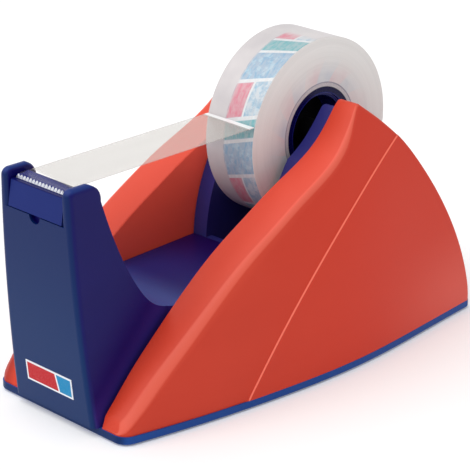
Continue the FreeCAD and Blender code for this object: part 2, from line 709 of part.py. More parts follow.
def cradle_ballast():
    return ballast(CRADLE_STATION + WELL_WALL + BALLAST_GAP, BASE_LENGTH - REAR_BALLAST_SETBACK,
                   CHEEK_INNER - BALLAST_GAP, REAR_BALLAST_HEIGHT, [])


# ---- cutter ------------------------------------------------------------------------------
def panel_front(height):
    """Station of the cutter panel's front face, which leans back from the parting line."""
    return front_face(PARTING_HEIGHT) + PANEL_LEAN * (height - PARTING_HEIGHT)


def panel_back(height):
    return panel_front(height) + PANEL_WALL


def blade_back(height):
    lean = math.atan(PANEL_LEAN)
    return panel_back(height) + (SEAT_GAP + BLADE_THICKNESS) / math.cos(lean)


def cutter_panel():
    """The front panel with its shelf and the two hooks that hold the guide rail."""
    low = PARTING_HEIGHT + CUTTER_GAP
    shelf_top = SHELF_HEIGHT + SHELF_THICKNESS
    half = POCKET_HALF_WIDTH - CUTTER_GAP
    corners = [yz(panel_front(low), low), yz(panel_front(PANEL_TOP), PANEL_TOP),
               yz(panel_back(PANEL_TOP), PANEL_TOP), yz(panel_back(low), low)]
    panel = prism(loop(corners), -half, half)
    shelf_half = half - SHELF_EDGE_GAP
    shelf = block(-shelf_half, shelf_half, panel_front(SHELF_HEIGHT) + SINK, SHELF_REAR_STATION,
                  SHELF_HEIGHT, shelf_top)
    panel = panel.fuse(shelf)
    neck_top = PARTING_HEIGHT + RAIL_NECK_HEIGHT
    inner = RAIL_HEAD_HALF + RAIL_GAP
    outer = inner + HOOK_WALL
    low_y = panel_front(low) + SINK
    lip_top = neck_top - RAIL_GAP
    hook = block(inner, outer, low_y, SHELF_REAR_STATION, low, SHELF_HEIGHT)
    lip = block(RAIL_NECK_HALF + RAIL_GAP, outer, low_y, SHELF_REAR_STATION, low, lip_top)
    for piece in both_sides(hook) + both_sides(lip):
        panel = panel.fuse(piece)
    peg_height = shelf_top + PEG_RISE
    for x in (-PEG_STATION, PEG_STATION):
        panel = panel.fuse(rod_y(PEG_RADIUS, panel_front(peg_height) + SINK,
                                 blade_back(peg_height) + PEG_LENGTH, x, peg_height))
    return panel.removeSplitter()


def blade():
    """A strip of steel with a row of teeth along its top edge."""
    lean = math.atan(PANEL_LEAN)
    foot = SHELF_HEIGHT + SHELF_THICKNESS + SEAT_GAP + BLADE_THICKNESS * math.sin(lean)
    root = BLADE_TIP_HEIGHT - TOOTH_HEIGHT
    teeth = int(2 * BLADE_HALF_LENGTH / TOOTH_PITCH)
    start = -teeth * TOOTH_PITCH / 2
    outline = [Vector(-BLADE_HALF_LENGTH, 0, foot), Vector(-BLADE_HALF_LENGTH, 0, root)]
    for tooth in range(teeth):
        outline.append(Vector(start + tooth * TOOTH_PITCH, 0, root))
        outline.append(Vector(start + (tooth + 0.5) * TOOTH_PITCH, 0, BLADE_TIP_HEIGHT))
    outline.append(Vector(start + teeth * TOOTH_PITCH, 0, root))
    outline += [Vector(BLADE_HALF_LENGTH, 0, root), Vector(BLADE_HALF_LENGTH, 0, foot)]
    strip = Part.Face(Part.Wire(loop(outline))).extrude(Vector(0, BLADE_THICKNESS, 0))
    front_foot = yz(panel_back(foot) + SEAT_GAP, foot)
    strip.translate(yz(front_foot.y, 0))
    strip.rotate(front_foot, Vector(1, 0, 0), -math.degrees(lean))
    peg_height = SHELF_HEIGHT + SHELF_THICKNESS + PEG_RISE
    for x in (-PEG_STATION, PEG_STATION):
        strip = strip.cut(rod_y(PEG_RADIUS + SEAT_GAP, -FAR, FAR, x, peg_height))
    return strip


def tape_rest():
    """The bar behind the blade, with a shallow groove along its top."""
    foot = SHELF_HEIGHT + SHELF_THICKNESS + SEAT_GAP
    shoulder = REST_HEIGHT - REST_SHOULDER
    front_ridge = yz(blade_back(shoulder) + SEAT_GAP + REST_SHOULDER, REST_HEIGHT - REST_GROOVE_DEPTH / 2)
    back_ridge = yz(REST_REAR_STATION - REST_SHOULDER, REST_HEIGHT)
    groove = yz((front_ridge.y + back_ridge.y) / 2, REST_HEIGHT - REST_GROOVE_DEPTH)
    front = yz(blade_back(shoulder) + SEAT_GAP, shoulder)
    back = yz(REST_REAR_STATION, shoulder)
    low_front = yz(blade_back(foot) + SEAT_GAP, foot)
    low_back = yz(REST_REAR_STATION, foot)
    bend = REST_SHOULDER * QUARTER_MIDDLE
    edges = [
        line(low_front, front),
        arc(front, yz(front.y + bend, front_ridge.z - bend), front_ridge),
        arc(front_ridge, groove, back_ridge),
        arc(back_ridge, yz(back.y - bend, REST_HEIGHT - bend), back),
        line(back, low_back),
        line(low_back, low_front),
    ]
    bar = prism(edges, -REST_HALF_LENGTH, REST_HALF_LENGTH)
    peg_height = SHELF_HEIGHT + SHELF_THICKNESS + PEG_RISE
    for x in (-PEG_STATION, PEG_STATION):
        bar = bar.cut(rod_y(PEG_RADIUS + SEAT_GAP, -FAR, blade_back(peg_height) + PEG_LENGTH + SEAT_GAP,
                            x, peg_height))
    return bar


# ---- roll, hub and tape strip ------------------------------------------------------------
def hub_half(has_spigots):
    """The right-hand half of the hub: a drum with a web in the middle plane and an axle stub."""
    y, z = AXLE_STATION, AXLE_HEIGHT
    inner = HUB_RADIUS - HUB_WALL
    drum = rod_x(HUB_RADIUS, 0, ROLL_HALF_WIDTH, y, z)
    drum = drum.cut(rod_x(inner, HUB_WEB, FAR, y, z))
    drum = drum.cut(rod_x(inner + HUB_LIP, ROLL_HALF_WIDTH - HUB_LIP_DEPTH, FAR, y, z))
    stub_end = CHEEK_INNER + GROOVE_DEPTH - STUB_END_GAP
    drum = drum.fuse(rod_x(STUB_RADIUS, 0, stub_end, y, z))
    collar = ring_x(STUB_RADIUS + HUB_COLLAR, STUB_RADIUS, HUB_WEB, HUB_COLLAR_END, y, z)
    drum = drum.fuse(collar)
    for corner in range(SPIGOTS):
        angle = math.radians(90 + 360 * corner / SPIGOTS)
        pin_y = y + SPIGOT_CIRCLE * math.cos(angle)
        pin_z = z + SPIGOT_CIRCLE * math.sin(angle)
        if has_spigots:
            drum = drum.fuse(rod_x(SPIGOT_RADIUS, -SPIGOT_LENGTH, SINK, pin_y, pin_z))
        else:
            socket_depth = SPIGOT_LENGTH + SEAT_GAP
            drum = drum.cut(rod_x(SPIGOT_RADIUS + SEAT_GAP, -OVERCUT, socket_depth, pin_y, pin_z))
    return drum.removeSplitter()


def roll_ring(outer, inner):
    return ring_x(outer, inner, -ROLL_HALF_WIDTH, ROLL_HALF_WIDTH, AXLE_STATION, AXLE_HEIGHT)


def tape_strip():
    """The free length of tape from the rest to where it peels off the roll."""
    reach = ROLL_RADIUS + STRIP_GAP
    peel = math.radians(PEEL_ANGLE)
    low_front = yz(STRIP_FRONT_STATION, REST_HEIGHT + STRIP_GAP)
    low_back = yz(AXLE_STATION + reach * math.cos(peel), AXLE_HEIGHT + reach * math.sin(peel))
    up = yz(0, STRIP_THICKNESS)
    corners = [low_front, low_back, low_back + up, low_front + up]
    return prism(loop(corners), -ROLL_HALF_WIDTH, ROLL_HALF_WIDTH)


def build():
    places = screw_places()
    liner = CORE_RADIUS + SEAT_GAP
    tape = liner + LINER_THICKNESS + SEAT_GAP
    right_shell = side_shell(places)
    return {
        "base_tray": base_tray(places),
        "non_slip_pad": non_slip_pad(),
        "tower_body": tower_body(places),
        "roll_cradle": roll_cradle(places),
        "right_side_shell": right_shell,
        "left_side_shell": mirrored(right_shell),
        "deck_ballast": deck_ballast(places),
        "cradle_ballast": cradle_ballast(),
        "deck_screws": screw_group(places["deck"]),
        "cradle_screws": screw_group(places["cradle"]),
        "shell_screws": screw_group(places["shell"]),
        "badge_plate": badge_slab(0, BADGE_THICKNESS - BADGE_PROUD),
        "cutter_panel": cutter_panel(),
        "blade": blade(),
        "tape_rest": tape_rest(),
        "right_hub_half": hub_half(True),
        "left_hub_half": mirrored(hub_half(False)),
        "tape_core": roll_ring(CORE_RADIUS, CORE_RADIUS - CORE_WALL),
        "core_liner": roll_ring(liner + LINER_THICKNESS, liner),
        "tape_winding": roll_ring(ROLL_RADIUS, tape),
        "tape_strip": tape_strip(),
    }


def main():
    os.makedirs("parts", exist_ok=True)
    shift = Vector(0, -BASE_LENGTH / 2, PAD_PROUD)
    for name, shape in build().items():
        shape.translate(shift)
        shape.exportStep("parts/" + name + ".step")
        box = shape.BoundBox
        print("%-18s solids %d volume %9.1f valid %s  X %.2f..%.2f Y %.2f..%.2f Z %.2f..%.2f" % (
            name, len(shape.Solids), shape.Volume, shape.isValid(),
            box.XMin, box.XMax, box.YMin, box.YMax, box.ZMin, box.ZMax))


main()
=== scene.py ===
"""The looks of a desk tape dispenser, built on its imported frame.

Metres, in the frame's own axes: X to the right-hand shell, Y rearwards and Z up.
"""
import json
import math

import bmesh
import bpy
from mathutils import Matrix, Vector


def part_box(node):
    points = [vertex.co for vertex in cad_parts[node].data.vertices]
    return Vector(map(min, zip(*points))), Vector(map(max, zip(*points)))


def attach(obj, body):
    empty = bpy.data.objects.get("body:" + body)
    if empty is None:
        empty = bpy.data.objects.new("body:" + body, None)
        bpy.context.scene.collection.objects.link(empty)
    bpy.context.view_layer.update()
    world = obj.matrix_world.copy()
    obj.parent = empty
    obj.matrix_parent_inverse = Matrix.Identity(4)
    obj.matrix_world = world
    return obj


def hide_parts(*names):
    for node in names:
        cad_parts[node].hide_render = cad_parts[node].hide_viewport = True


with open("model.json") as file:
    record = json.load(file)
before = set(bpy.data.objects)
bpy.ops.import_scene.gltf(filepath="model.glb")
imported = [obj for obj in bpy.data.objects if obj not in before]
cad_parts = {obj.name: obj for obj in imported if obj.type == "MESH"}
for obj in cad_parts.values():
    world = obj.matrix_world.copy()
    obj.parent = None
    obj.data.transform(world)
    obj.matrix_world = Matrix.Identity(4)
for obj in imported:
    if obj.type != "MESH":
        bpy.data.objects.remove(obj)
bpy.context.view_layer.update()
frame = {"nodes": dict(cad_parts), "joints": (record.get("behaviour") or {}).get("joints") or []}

MM = 0.001
ROLL_AXLE = Vector(next(j for j in frame["joints"] if j["name"] == "roll_spin")["pos_m"])
ROLL_LOW, ROLL_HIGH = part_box("tape_winding")
LINER_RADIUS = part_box("core_liner")[1].z - ROLL_AXLE.z
STRIP_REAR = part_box("tape_strip")[1].y
REST_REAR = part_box("tape_rest")[1].y
BLADE_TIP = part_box("blade")[1].z
PANEL_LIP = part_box("cutter_panel")[1].z

LENS = 155.25
CAMERA_PLACE = (0.39454, -0.39472, 0.25616)
CAMERA_AIM = Vector((-0.6584, 0.6563, -0.3684))
LAMP_ENERGY = 2.05
LAMP_SPREAD = math.radians(80)
LAMP_AIM = Vector((0.14, 0.48, -0.86))
ROOM_GLOW = 0.45        # of the white that is seen, what lights the object
FLOOR_DROP = 0.0001     # keeps the floor clear of the pad's underside


# ---- node building ------------------------------------------------------------------------
def shade(red, green, blue):
    """A colour given by its usual screen values, as linear light."""
    def linear(value):
        value /= 255
        return value / 12.92 if value <= 0.04045 else ((value + 0.055) / 1.055) ** 2.4
    return (linear(red), linear(green), linear(blue), 1)


class Value:
    """What comes out of a node.  Python's operators on numbers add Math nodes."""

    def __init__(self, graph, socket):
        self.graph = graph
        self.socket = socket

    def math(self, operation, *others):
        inputs = dict(enumerate((self,) + others))
        return self.graph.node("ShaderNodeMath", {"operation": operation}, inputs)

    def __add__(self, other):
        return self.math("ADD", other)

    def __sub__(self, other):
        return self.math("SUBTRACT", other)

    def __mul__(self, other):
        return self.math("MULTIPLY", other)

    def __truediv__(self, other):
        return self.math("DIVIDE", other)

    __radd__ = __add__
    __rmul__ = __mul__

    def __rsub__(self, other):
        return self.graph.node("ShaderNodeMath", {"operation": "SUBTRACT"}, {0: other, 1: self})

    def size(self):
        return self.math("ABSOLUTE")

    def repeat(self):
        """What is left of the number after its whole part."""
        return self.math("FRACT")

    def rise(self, low, high):
        """0 below low, 1 above high, smooth between them."""
        return self.graph.node(
            "ShaderNodeMapRange", {"interpolation_type": "SMOOTHSTEP"},
            {"Value": self, "From Min": low, "From Max": high})

    def fall(self, low, high):
        """1 below low, 0 above high, smooth between them."""
        return 1 - self.rise(low, high)

    def within(self, low, high, edge):
        """1 from low to high, with soft edges."""
        return self.rise(low - edge, low + edge) * self.fall(high - edge, high + edge)


class Graph:
    """The nodes of a material or of the world."""

    def __init__(self, owner):
        owner.use_nodes = True
        self.owner = owner
        self.tree = owner.node_tree
        self.tree.nodes.clear()

    def node(self, kind, settings, inputs, output=0):
        """Add a node: its settings first, then its sockets' values and links."""
        made = self.tree.nodes.new(kind)
        for name, setting in settings.items():
            setattr(made, name, setting)
        for name, value in inputs.items():
            if isinstance(value, Value):
                self.tree.links.new(value.socket, made.inputs[name])
            else:
                made.inputs[name].default_value = value
        return Value(self, made.outputs[output]) if len(made.outputs) else None


class Finish(Graph):
    """One material, with the nodes that make it."""

    def __init__(self, name):
        super().__init__(bpy.data.materials.new(name))
        self.place = self.node("ShaderNodeTexCoord", {}, {}, "Object")

    def parts(self, vector):
        """A vector as its three numbers."""
        return [self.node("ShaderNodeSeparateXYZ", {}, {"Vector": vector}, axis) for axis in range(3)]

    def axes(self, centre=(0, 0, 0)):
        """The place on the piece, measured from a centre, as three numbers."""
        settings = {"operation": "SUBTRACT"}
        return self.parts(self.node("ShaderNodeVectorMath", settings, {0: self.place, 1: centre}))

    def facing(self):
        """The way the surface faces, as three numbers."""
        return self.parts(self.node("ShaderNodeTexCoord", {}, {}, "Normal"))

    def vector(self, x, y=0.0):
        return self.node("ShaderNodeCombineXYZ", {}, {"X": x, "Y": y})

    def mark(self, name):
        """A number that the mesh's points carry."""
        return self.node("ShaderNodeAttribute", {"attribute_name": name}, {}, "Fac")

    def noise(self, scale, detail=2.0, roughness=0.5, place=None):
        """Cloudy variation with features about 1/scale metres apart."""
        return self.node("ShaderNodeTexNoise", {}, {
            "Vector": place or self.place, "Scale": scale, "Detail": detail, "Roughness": roughness})

    def streaks(self, scales):
        """Noise drawn out along the axis of the smallest scale."""
        stretched = self.node("ShaderNodeMapping", {}, {"Vector": self.place, "Scale": scales})
        return self.noise(1, 3, 0.6, stretched)

    def mix(self, amount, first, second):
        """From the first colour to the second (a Mix node's sockets 6 and 7)."""
        inputs = {0: amount, 6: first, 7: second}
        return self.node("ShaderNodeMix", {"data_type": "RGBA"}, inputs, 2)

    def bump(self, height, depth):
        """Relief: height runs from 0 to 1 over depth metres."""
        return self.node("ShaderNodeBump", {}, {"Strength": 1.0, "Distance": depth, "Height": height})

    def surface(self, inputs):
        shader = self.node("ShaderNodeBsdfPrincipled", {}, inputs)
        self.node("ShaderNodeOutputMaterial", {}, {"Surface": shader})
        return self.owner


# ---- camera, light and floor --------------------------------------------------------------
def staged(name, data):
    """An object for some data, linked to the scene."""
    made = bpy.data.objects.new(name, data)
    bpy.context.scene.collection.objects.link(made)
    return made


def place_camera():
    camera = staged("camera", bpy.data.cameras.new("camera"))
    camera.data.lens = LENS
    camera.data.clip_start = 0.01
    camera.location = CAMERA_PLACE
    camera.rotation_euler = CAMERA_AIM.to_track_quat("-Z", "Y").to_euler()
    bpy.context.scene.camera = camera


def place_lamp():
    """One broad soft lamp above the front left."""
    lamp = staged("soft_lamp", bpy.data.lights.new("soft_lamp", "SUN"))
    lamp.data.energy = LAMP_ENERGY
    lamp.data.angle = LAMP_SPREAD
    lamp.rotation_euler = LAMP_AIM.to_track_quat("-Z", "Y").to_euler()


def light_room():
    """An even white room, dimmer in the light it throws than where it is seen or mirrored."""
    world = bpy.data.worlds.new("room")
    room = Graph(world)
    seen, mirrored, through = (
        room.node("ShaderNodeLightPath", {}, {}, ray)
        for ray in ("Is Camera Ray", "Is Glossy Ray", "Is Transmission Ray"))
    in_view = seen.math("MAXIMUM", mirrored).math("MAXIMUM", through)
    strength = in_view * (1 - ROOM_GLOW) + ROOM_GLOW
    white = room.node("ShaderNodeBackground", {}, {"Color": (1, 1, 1, 1), "Strength": strength})
    room.node("ShaderNodeOutputWorld", {}, {"Surface": white})
    bpy.context.scene.world = world
    bpy.context.scene.view_settings.view_transform = "Standard"


def floor_paint():
    finish = Finish("studio_floor")
    sweep = finish.noise(3, 2)
    return finish.surface({
        "Base Color": finish.mix(sweep, (0.93, 0.93, 0.93, 1), (0.95, 0.95, 0.95, 1)),
        "Roughness": 0.9,
        "Specular IOR Level": 0.0,
        "Emission Color": (1, 1, 1, 1),
        "Emission Strength": 0.15,
    })


def lay_floor():
    mesh = bmesh.new()
    bmesh.ops.create_grid(mesh, x_segments=1, y_segments=1, size=6)
    bmesh.ops.translate(mesh, verts=mesh.verts, vec=(0, 0, -FLOOR_DROP))
    data = bpy.data.meshes.new("studio_floor")
    mesh.to_mesh(data)
    mesh.free()
    data.materials.append(floor_paint())
    staged("studio_floor", data)


# ---- moulded plastics ---------------------------------------------------------------------
# Distances across and from the roll's axle at which a tone changes on the drum: its painted shade and
# painted highlight.
DRUM_RIM = (0.0117, 0.0120)
DRUM_LINE = (0.0113, 0.0116)
DRUM_BORE = (0.0101, 0.0105)
DRUM_DEPTH = (0.0086, 0.0092)

BAY_WALL = (0.0189, 0.0195)      # across, from the bay's wall to the band
TOWER_FOOT = 0.0014              # how far the tower's foot stands before the base's front,
TOWER_BOW = 0.0048               # how much further its top does
TOWER_BOW_HEIGHT = 0.075         # and the height over which it bows out
BAND_FOOT = 0.0047               # the shell's band beside the deck: its height at the front
BAND_SLOPE = 1.02                # and its climb


def roll_axes(finish):
    """x across the roll, the distance from its axle, and the turn round it from 0 to 1."""
    x, y, z = finish.axes(ROLL_AXLE)
    radius = (y * y + z * z).math("SQRT")
    turn = z.math("ARCTAN2", y) / math.tau + 0.5
    return x, radius, turn


def moulded_plastic(name, light, dark, gloss, shine, tone=None, grain_depth=0.00003, dull_bore=0):
    """Satin moulded plastic with a fine eroded grain and a slow drift in tone."""
    finish = Finish(name)
    drift = finish.noise(22, 3)
    grain = finish.noise(3200, 2)
    flow = finish.streaks((30, 8, 90))
    cloud = drift.rise(0.3, 0.7) * 0.7 + flow.rise(0.35, 0.7) * 0.3
    colour = finish.mix(cloud, shade(*light), shade(*dark))
    if tone:
        colour = tone(finish, colour)
    if dull_bore:
        _, radius, _ = roll_axes(finish)
        gloss = gloss + radius.fall(*DRUM_BORE) * dull_bore
    return finish.surface({
        "Base Color": colour,
        "Roughness": gloss + (grain - 0.5) * 0.10 + (drift - 0.5) * 0.10,
        "Specular IOR Level": shine,
        "Normal": finish.bump(grain, grain_depth),
    })


def shell_tone(finish, colour):
    """The flank's sideways faces are painted deeper than the band as painted shade, and paler low at
    the rear as painted light; the left toe is painted darker as painted shade; the band's edge and
    the fine step carry painted highlights, and the bay face painted light.
    """
    x, y, z = finish.axes()
    across, _, _ = finish.facing()
    past_bay = x.size().rise(*BAY_WALL)
    flank = across.size().rise(0.85, 0.95) * past_bay * y.rise(-0.04, 0.03)
    heel = z.fall(0.004, 0.034) * y.rise(0.015, 0.066)
    left_toe_painted_shade = (x * -1).rise(0.020, 0.024) * y.fall(-0.064, -0.036)
    # painted shade: faces turned sideways on the flank are painted deeper and darker
    colour = finish.mix(flank * 0.8, colour, shade(213, 48, 18))
    # painted light: the flank is painted paler low at its rear
    colour = finish.mix(flank * heel * 0.5, colour, shade(240, 104, 90))
    # painted shade: the left shell's toe is painted darker
    colour = finish.mix(left_toe_painted_shade * 0.75, colour, shade(158, 30, 16))
    # painted highlight along the band's outer edge, from a mark the mesh carries
    colour = finish.mix(finish.mark("edge_painted_highlight") * 0.4, colour, shade(255, 132, 112))
    # painted light: the bay face and parts of the band are painted paler, from a mark the mesh
    # carries
    colour = finish.mix(finish.mark("bay_painted_light") * 0.9, colour, shade(255, 96, 76))
    _, along, up = finish.axes(row_place(0, STEP_CENTRE.x, STEP_CENTRE.y))
    from_step = ((along * along + up * up).math("SQRT") - STEP_RADIUS * MM).size()
    # painted highlight: a thin paler line along the fine step
    step_painted_highlight = from_step.fall(0.00006, 0.00026) * past_bay
    return finish.mix(step_painted_highlight * 0.9, colour, shade(255, 128, 106))


def tower_tone(finish, colour):
    """The tower's bowed front is painted a greyer blue than its sides, as painted light; its crown,
    the deck and the sides above the band are painted paler as painted light, and the deck's rear
    darker as painted shade.
    """
    _, y, z = finish.axes((0, -BASE_LENGTH / 2 * MM, 0))
    across, _, up = finish.facing()
    short_of_top = 1 - z / TOWER_BOW_HEIGHT
    behind_front = y + TOWER_FOOT + (1 - short_of_top * short_of_top) * TOWER_BOW
    # painted light: the front face is painted a greyer blue, paler towards its foot
    front = finish.mix(z.rise(0.020, 0.065), shade(4, 43, 96), shade(2, 32, 89))
    colour = finish.mix(behind_front.fall(0.0003, 0.0012), colour, front)
    # painted light on the deck's upward faces, paler at the front; painted shade darker at its rear
    deck = up.rise(0.2, 0.5) * z.fall(0.045, 0.052)
    colour = finish.mix(deck, colour, shade(26, 36, 108))
    colour = finish.mix(deck * y.fall(0.026, 0.042), colour, shade(66, 86, 156))
    colour = finish.mix(deck * y.rise(0.044, 0.066), colour, shade(34, 10, 84))
    # painted light on the tower's sides just above the shell's band, where shade falls
    above_band = z - BAND_FOOT - y * BAND_SLOPE
    beside_band = across.size().rise(0.8, 0.95) * above_band.fall(0.0, 0.009) * y.fall(0.028, 0.036)
    colour = finish.mix(beside_band * 0.5, colour, shade(64, 48, 138))
    # painted light on the upward faces of the crown
    crown = up.rise(0.3, 0.8) * z.rise(0.060, 0.066)
    return finish.mix(crown, colour, shade(26, 50, 120))


def rim_tone(finish, colour):
    """The rim's front is painted as grey a blue as the tower's, as painted light on the faces turned
    forward.
    """
    _, back, _ = finish.facing()
    return finish.mix(back.fall(-0.98, -0.55), colour, shade(8, 43, 96))


def cheek_tone(finish, colour):
    """The cheeks' front edges are painted a little paler towards the deck, as painted light where
    they lie in shade.
    """
    _, _, z = finish.axes()
    _, back, _ = finish.facing()
    # painted light low on the front edges
    low_front = z.fall(0.030, 0.060) * back.fall(-0.3, 0.0)
    return finish.mix(low_front * 0.15, colour, shade(96, 96, 178))


def panel_tone(finish, colour):
    """The panel's upper edge lies in the blade's shade."""
    _, _, z = finish.axes()
    lip = z.rise(PANEL_LIP - 0.0003, PANEL_LIP - 0.0001)
    return finish.mix(lip, colour, shade(8, 12, 84))


def drum_tone(finish, colour):
    """The drum's rim is painted dark, as painted shade in its recess, with a painted highlight line
    inside it; its bore is painted nearly black as painted shade.
    """
    x, radius, _ = roll_axes(finish)
    # painted shade on the recessed rim
    colour = finish.mix(radius.rise(*DRUM_RIM), colour, shade(10, 6, 66))
    # painted highlight: a pale line round the rim's inner edge
    colour = finish.mix(radius.within(*DRUM_LINE, 0.0001), colour, shade(92, 92, 168))
    # painted shade: nearly black deep in the bore
    bore = radius.fall(*DRUM_BORE) * x.size().fall(*DRUM_DEPTH)
    return finish.mix(bore, colour, shade(2, 2, 6))


# ---- metals, rubber and the plate ---------------------------------------------------------
def cast_iron():
    finish = Finish("cast_iron")
    sand = finish.noise(1400, 6, 0.65)
    rust = finish.noise(90, 5, 0.6).rise(0.52, 0.7)
    return finish.surface({
        "Base Color": finish.mix(rust, shade(74, 72, 72), shade(104, 76, 58)),
        "Metallic": 0.75 - rust * 0.5,
        "Roughness": 0.55 + sand * 0.3,
        "Normal": finish.bump(sand, 0.0003),
    })


def screw_steel():
    """Bright steel with fine drawn lines and a little staining."""
    finish = Finish("screw_steel")
    lines = finish.streaks((900, 900, 60))
    stain = finish.noise(160, 3).rise(0.45, 0.75)
    return finish.surface({
        "Base Color": finish.mix(stain, shade(168, 170, 174), shade(190, 190, 195)),
        "Metallic": 1.0,
        "Roughness": 0.22 + lines * 0.16 + stain * 0.08,
        "Normal": finish.bump(lines, 0.00002),
    })


def cutting_steel():
    """Bright ground teeth; the strip below them is painted dark navy as painted shade."""
    finish = Finish("blade_steel")
    lines = finish.streaks((40, 2400, 2400))
    _, _, z = finish.axes()
    ground = z.rise(BLADE_TIP - 0.00115, BLADE_TIP - 0.00100)
    bright = finish.mix(lines.rise(0.3, 0.7), shade(238, 240, 246), shade(222, 226, 234))
    return finish.surface({
        # painted shade: the strip below the teeth is painted dark navy
        "Base Color": finish.mix(ground, shade(24, 32, 104), bright),
        "Metallic": 0.3 + ground * 0.6,
        "Roughness": 0.24 + lines * 0.14,
        "Normal": finish.bump(lines, 0.00002),
    })


def pad_rubber():
    """Black rubber with a fine weave of non-slip dimples."""
    finish = Finish("pad_rubber")
    per_metre = 420
    x, y, _ = finish.axes()
    across = ((x + y) * per_metre).repeat() - 0.5
    along = ((x - y) * per_metre).repeat() - 0.5
    dimples = (across * across + along * along).rise(0.02, 0.16)
    dust = finish.noise(700, 4, 0.6)
    return finish.surface({
        "Base Color": finish.mix(dust.rise(0.45, 0.75), shade(30, 30, 32), shade(58, 57, 56)),
        "Roughness": 0.78 + dust * 0.15,
        "Normal": finish.bump(dimples * 0.8 + dust * 0.2, 0.0002),
    })


def blank_plate():
    """A plain plate: a white border round two bare fields."""
    finish = Finish("badge_blank")
    low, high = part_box("badge_plate")
    border = 0.0006
    half_long, half_tall = (high.x - low.x) / 2, (high.z - low.z) / 2
    x, _, z = finish.axes((low + high) / 2)
    field = x.size().fall(half_long - border, half_long - border * 0.75)
    field = field * z.size().fall(half_tall - border, half_tall - border * 0.75)
    slanted = x + z * 0.2
    body = finish.mix(slanted.rise(0.00365, 0.00375), shade(190, 16, 28), shade(0, 134, 186))
    body = finish.mix(slanted.within(0.0031, 0.0037, 0.00005), body, shade(238, 238, 240))
    ink = finish.noise(2500, 2)
    body = finish.mix(ink.rise(0.4, 0.8) * 0.05, body, shade(250, 250, 250))
    return finish.surface({
        "Base Color": finish.mix(field, shade(236, 238, 244), body),
        "Roughness": 0.28 + ink * 0.08,
        "Specular IOR Level": 0.15,
        "Normal": finish.bump(ink + field * 2, 0.00002),
    })


# ---- the roll and its tape ----------------------------------------------------------------
# The liner's blocks, each from and to a part of one repeat of the pattern.
PATTERN_REPEATS = 6
PATTERN_SLANT = 0.12
BLUE_BLOCK = (0.00, 0.34)
SPLIT_BLOCK = (0.38, 0.74)       # pink on one half, pale on the other
TEAL_BLOCK = (0.78, 0.96)

PRINT_EDGE = -0.0021             # across: where the print under the tread begins
PLAIN_TURN = (0.62, 0.765)       # where round the roll no print shows


def on_flank(x):
    """1 on the roll's flat sides and 0 on its tread."""
    return x.size().rise(0.00942, 0.00948)


def core_plastic():
    finish = Finish("core_plastic")
    grain = finish.noise(1800, 3)
    _, radius, _ = roll_axes(finish)
    pale = finish.mix(grain.rise(0.3, 0.7), shade(212, 206, 208), shade(198, 192, 198))
    # painted shade: the core is painted dark navy near its bore
    inside = radius.fall(0.01345, 0.0136)
    return finish.surface({
        "Base Color": finish.mix(inside, pale, shade(22, 20, 70)),
        "Roughness": 0.4 + grain * 0.1,
        "Normal": finish.bump(grain, 0.00002),
    })


def liner_blocks(finish, x, turn, low_x, high_x):
    """The printed liner: slanted plain blocks in pink, blue and teal between white lines."""
    across = (x - low_x) / (high_x - low_x)
    step = (turn * PATTERN_REPEATS + across * PATTERN_SLANT).repeat()
    mottle = finish.noise(420, 4, 0.7)
    pale = finish.mix(mottle.rise(0.42, 0.6), shade(126, 178, 206), shade(196, 214, 224))
    blue = finish.mix(mottle.rise(0.5, 0.62), shade(110, 165, 200), shade(150, 196, 218))
    colour = finish.mix(step.within(*BLUE_BLOCK, 0.006), pale, blue)
    pink = step.within(*SPLIT_BLOCK, 0.006) * across.fall(0.46, 0.5)
    colour = finish.mix(pink, colour, shade(216, 100, 126))
    colour = finish.mix(step.within(*TEAL_BLOCK, 0.006), colour, shade(62, 168, 176))
    lines = step.within(BLUE_BLOCK[1], SPLIT_BLOCK[0], 0.004)
    lines = lines + step.within(SPLIT_BLOCK[1], TEAL_BLOCK[0], 0.004)
    lines = lines + step.rise(TEAL_BLOCK[1], TEAL_BLOCK[1] + 0.008)
    lines = lines + across.within(0.48, 0.54, 0.006) * step.within(*SPLIT_BLOCK, 0.004)
    return finish.mix(lines, colour, shade(228, 232, 234))


def liner_print():
    finish = Finish("liner_print")
    x, _, turn = roll_axes(finish)
    paper = finish.noise(1500, 4)
    blocks = liner_blocks(finish, x, turn, ROLL_LOW.x, ROLL_HIGH.x)
    return finish.surface({
        "Base Color": finish.mix(on_flank(x), blocks, shade(172, 166, 182)),
        "Roughness": 0.5 + paper * 0.1,
        "Normal": finish.bump(paper, 0.00003),
    })


def tread_colour(finish, x, turn, cloud, haze):
    """Milky tape with the liner showing through it."""
    milk = finish.mix(cloud.rise(0.3, 0.7), shade(214, 208, 208), shade(200, 194, 196))
    blocks = liner_blocks(finish, x, turn, PRINT_EDGE, ROLL_HIGH.x)
    wavering = x + (finish.noise(260, 3) - 0.5) * 0.0006
    printed = 1 - turn.within(*PLAIN_TURN, 0.012)
    through = wavering.rise(PRINT_EDGE - 0.0006, PRINT_EDGE + 0.0005) * printed
    through = through * (0.5 + haze.rise(0.4, 0.65) * 0.3)
    edge = wavering.within(PRINT_EDGE - 0.0003, PRINT_EDGE - 0.0001, 0.0001) * printed
    edge = edge * haze.rise(0.4, 0.6)
    colour = finish.mix(through, milk, blocks)
    return finish.mix(edge * 0.4, colour, shade(110, 120, 156))


